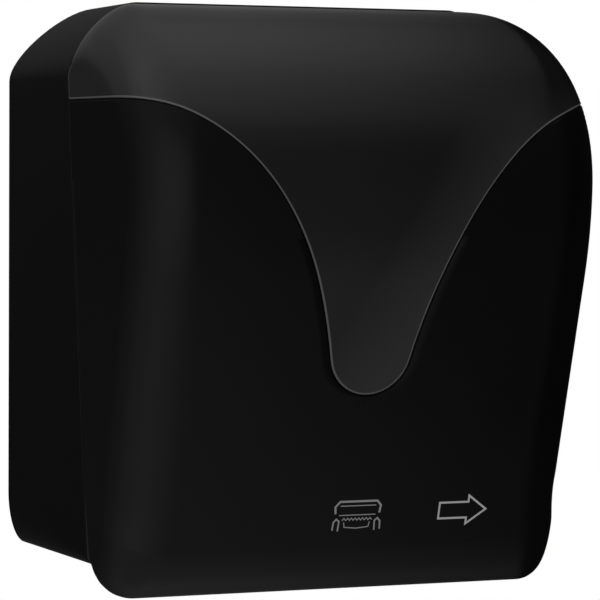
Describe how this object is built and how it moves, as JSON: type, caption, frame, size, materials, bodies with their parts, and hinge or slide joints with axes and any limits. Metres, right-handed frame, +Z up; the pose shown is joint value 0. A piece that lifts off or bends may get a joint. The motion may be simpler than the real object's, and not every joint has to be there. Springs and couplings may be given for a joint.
{
  "type": "autocut paper towel dispenser",
  "caption": "Wall dispenser for towel rolls: drop-down cover with a smoke window, and inside a feed drum with a knife, a pinch roller and swinging roll arms.",
  "frame": {"origin": "centre of the wall screw pattern on the housing's rear face", "axes": "+X to the right of someone facing the dispenser, -Y out of the wall towards that person, +Z up"},
  "size_m": [0.333, 0.2381, 0.3737],
  "materials": {
    "housing_plastic": "moulded satin",
    "cover_plastic": "gloss",
    "window_plastic": "gloss, smoke grey, translucent",
    "steel": "turned",
    "spring_steel": "drawn wire",
    "blade_steel": "ground",
    "zinc": "zinc plated",
    "chrome": "polished",
    "rubber": "matte",
    "chassis_plastic": "moulded",
    "drum_plastic": "moulded",
    "bush_plastic": "moulded",
    "knob_plastic": "moulded",
    "arm_plastic": "moulded",
    "hub_plastic": "moulded"
  },
  "bodies": {
    "housing": {"rear_housing": "housing_plastic", "lock_barrel": "chrome", "lock_nut": "zinc", "hinge_pins": "steel", "chassis_left": "chassis_plastic", "chassis_right": "chassis_plastic", "tie_rods": "steel", "tie_rod_nuts": "zinc", "chute_rear_guide": "chassis_plastic", "chute_front_guide": "chassis_plastic", "drum_bush_left": "bush_plastic", "drum_bush_right": "bush_plastic", "knife_cam": "bush_plastic", "spring_post": "steel", "return_spring": "spring_steel", "arm_bracket_left": "chassis_plastic", "arm_bracket_right": "chassis_plastic", "arm_pins": "steel", "arm_springs": "spring_steel", "chassis_screws": "zinc", "bracket_screws": "zinc", "pinch_springs": "spring_steel"},
    "cover": {"front_cover": "cover_plastic", "smoke_window": "window_plastic", "lock_catch": "housing_plastic"},
    "lock": {"lock_plug": "chrome", "lock_cam": "zinc"},
    "drum": {"drum_upper_half": "drum_plastic", "drum_lower_half": "drum_plastic", "drum_shaft": "steel", "friction_bands": "rubber", "crank_disc": "drum_plastic", "crank_pin": "steel", "feed_knob": "knob_plastic"},
    "knife": {"knife_carrier": "drum_plastic", "knife_blade": "blade_steel", "blade_rivets": "steel", "knife_pivot_rod": "steel", "follower_arm": "zinc", "follower_roller": "bush_plastic", "follower_pin": "steel"},
    "pinch_carrier": {"pinch_shaft": "steel", "pinch_block_left": "bush_plastic", "pinch_block_right": "bush_plastic"},
    "pinch_roller": {"pinch_roller_sleeve": "rubber"},
    "arm_left": {"roll_arm_left": "arm_plastic"},
    "arm_right": {"roll_arm_right": "arm_plastic"},
    "hub_left": {"roll_hub_left": "hub_plastic"},
    "hub_right": {"roll_hub_right": "hub_plastic"}
  },
  "joints": [
    {"name": "cover_hinge", "type": "hinge", "parent": "housing", "child": "cover", "pos_m": [0, -0.154, -0.19], "axis": [1, 0, 0], "range_deg": [0, 85]},
    {"name": "lock_turn", "type": "hinge", "parent": "housing", "child": "lock", "pos_m": [0, -0.08, 0.166], "axis": [0, 0, 1], "range_deg": [0, 90]},
    {"name": "drum_spin", "type": "hinge", "parent": "housing", "child": "drum", "pos_m": [0, -0.1, -0.104], "axis": [1, 0, 0], "continuous": true, "deforming": ["return_spring"]},
    {"name": "knife_swing", "type": "hinge", "parent": "drum", "child": "knife", "pos_m": [0, -0.12, -0.12], "axis": [-1, 0, 0], "range_deg": [0, 35]},
    {"name": "pinch_slide", "type": "slide", "parent": "housing", "child": "pinch_carrier", "axis": [0, -0.766, 0.6428], "range_m": [0, 0.003], "stiffness_N_per_m": 1500, "springref_m": -0.006, "deforming": ["pinch_springs"]},
    {"name": "pinch_roller_spin", "type": "hinge", "parent": "pinch_carrier", "child": "pinch_roller", "pos_m": [0, -0.14221, -0.06858], "axis": [1, 0, 0], "continuous": true},
    {"name": "arm_left_swing", "type": "hinge", "parent": "housing", "child": "arm_left", "pos_m": [-0.118, -0.019, 0.056], "axis": [0, 0, -1], "range_deg": [0, 12], "stiffness_Nm_per_rad": 0.4, "springref_deg": -28.65},
    {"name": "arm_right_swing", "type": "hinge", "parent": "housing", "child": "arm_right", "pos_m": [0.118, -0.019, 0.056], "axis": [0, 0, 1], "range_deg": [0, 12], "stiffness_Nm_per_rad": 0.4, "springref_deg": -28.65},
    {"name": "hub_left_spin", "type": "hinge", "parent": "arm_left", "child": "hub_left", "pos_m": [-0.11, -0.112, 0.056], "axis": [1, 0, 0], "continuous": true},
    {"name": "hub_right_spin", "type": "hinge", "parent": "arm_right", "child": "hub_right", "pos_m": [0.11, -0.112, 0.056], "axis": [1, 0, 0], "continuous": true}
  ],
  "couplings": [
    {"joint": "pinch_roller_spin", "follows": "drum_spin", "ratio": -3.5667}
  ]
}
